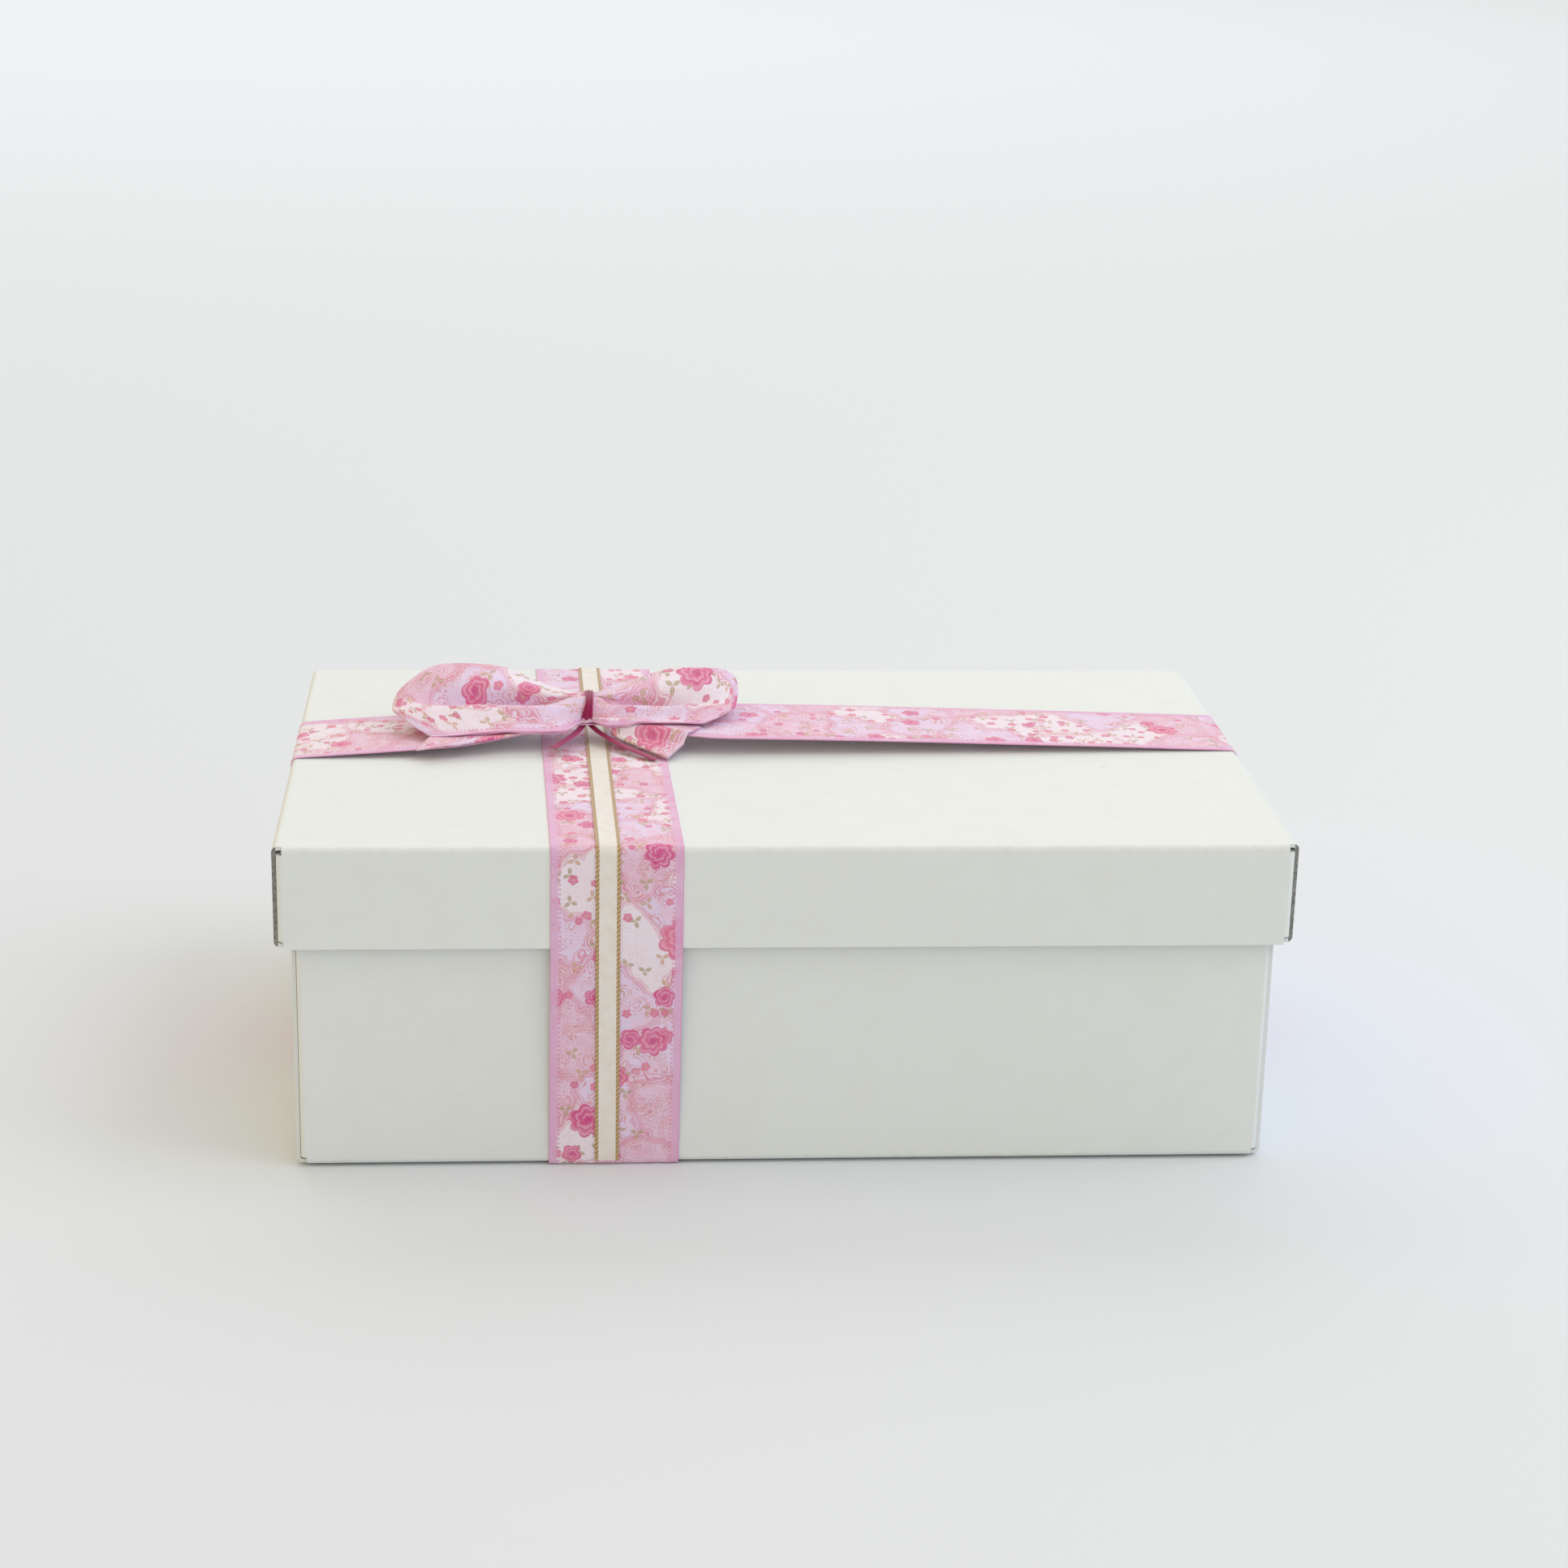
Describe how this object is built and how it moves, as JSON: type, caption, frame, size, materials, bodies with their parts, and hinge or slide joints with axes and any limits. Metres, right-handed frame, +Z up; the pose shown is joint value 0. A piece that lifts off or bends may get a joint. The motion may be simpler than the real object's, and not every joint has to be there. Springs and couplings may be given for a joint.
{
  "type": "gift box",
  "caption": "White folded board gift box with a lift-off lid, wrapped both ways with a floral printed ribbon and topped with a gathered bow.",
  "frame": {"origin": "on the ground under the middle of the box's outline", "axes": "+Z up, +X along the box to the right of a viewer at the front, +Y from front to back"},
  "size_m": [0.3108, 0.1974, 0.127],
  "materials": {
    "white_board": "satin",
    "printed_ribbon": "satin",
    "cream_ribbon": "satin",
    "tie_ribbon": "satin"
  },
  "bodies": {
    "base": {"base_tray": "white_board", "cross_ribbon_lower": "printed_ribbon", "cream_ribbon_lower": "cream_ribbon", "length_ribbon_lower": "printed_ribbon"},
    "lid": {"lid": "white_board", "cross_ribbon_upper": "printed_ribbon", "cream_ribbon_upper": "cream_ribbon", "length_ribbon_upper": "printed_ribbon", "bow_loops": "printed_ribbon", "bow_tails": "printed_ribbon", "bow_tie": "tie_ribbon"}
  },
  "joints": [
    {"name": "lid_lift", "type": "slide", "parent": "base", "child": "lid", "axis": [0, 0, 1], "range_m": [0, 0.12]}
  ]
}
